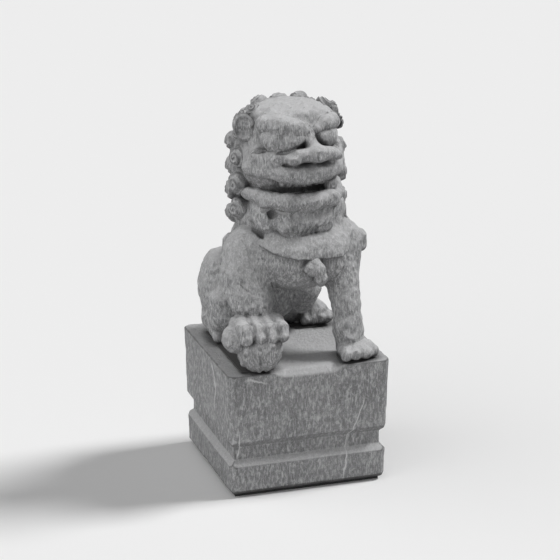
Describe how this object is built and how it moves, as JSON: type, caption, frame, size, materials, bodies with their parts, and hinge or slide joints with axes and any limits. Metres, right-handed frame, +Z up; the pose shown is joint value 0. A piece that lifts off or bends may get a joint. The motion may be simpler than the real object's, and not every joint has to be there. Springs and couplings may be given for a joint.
{
  "type": "guardian lion statue",
  "caption": "Seated stone guardian lion with one forepaw on a brocade ball, bedded on a square grooved plinth.",
  "frame": {"origin": "centre of the underside of the pad under the plinth", "axes": "+Z up, the lion faces -Y, +X is the lion's left side"},
  "size_m": [0.2055, 0.2125, 0.4649],
  "materials": {
    "lion_stone": "chiselled grey stone, matte, with fine pale tool flecks",
    "plinth_stone": "sawn and chiselled grey stone, matte, with sparse pale veins",
    "bedding_mortar": "dark grey bedding mortar, matte",
    "dowel_steel": "plain stainless rod",
    "pad_rubber": "black rubber sheet, matte"
  },
  "bodies": {
    "root": {"base_pad": "pad_rubber", "plinth": "plinth_stone", "bedding": "bedding_mortar", "dowels": "dowel_steel", "torso": "lion_stone", "right_haunch": "lion_stone", "left_haunch": "lion_stone", "right_hind_paw": "lion_stone", "left_hind_paw": "lion_stone", "right_foreleg": "lion_stone", "left_foreleg": "lion_stone", "right_forepaw": "lion_stone", "left_forepaw": "lion_stone", "brocade_ball": "lion_stone", "head": "lion_stone", "muzzle": "lion_stone", "lower_jaw": "lion_stone", "beard": "lion_stone", "brows": "lion_stone", "right_eye": "lion_stone", "left_eye": "lion_stone", "teeth": "lion_stone", "right_ear": "lion_stone", "left_ear": "lion_stone", "right_mane": "lion_stone", "left_mane": "lion_stone", "back_mane": "lion_stone", "collar": "lion_stone", "collar_bell": "lion_stone", "right_shoulder_curls": "lion_stone", "left_shoulder_curls": "lion_stone", "tail": "lion_stone"}
  },
  "joints": []
}
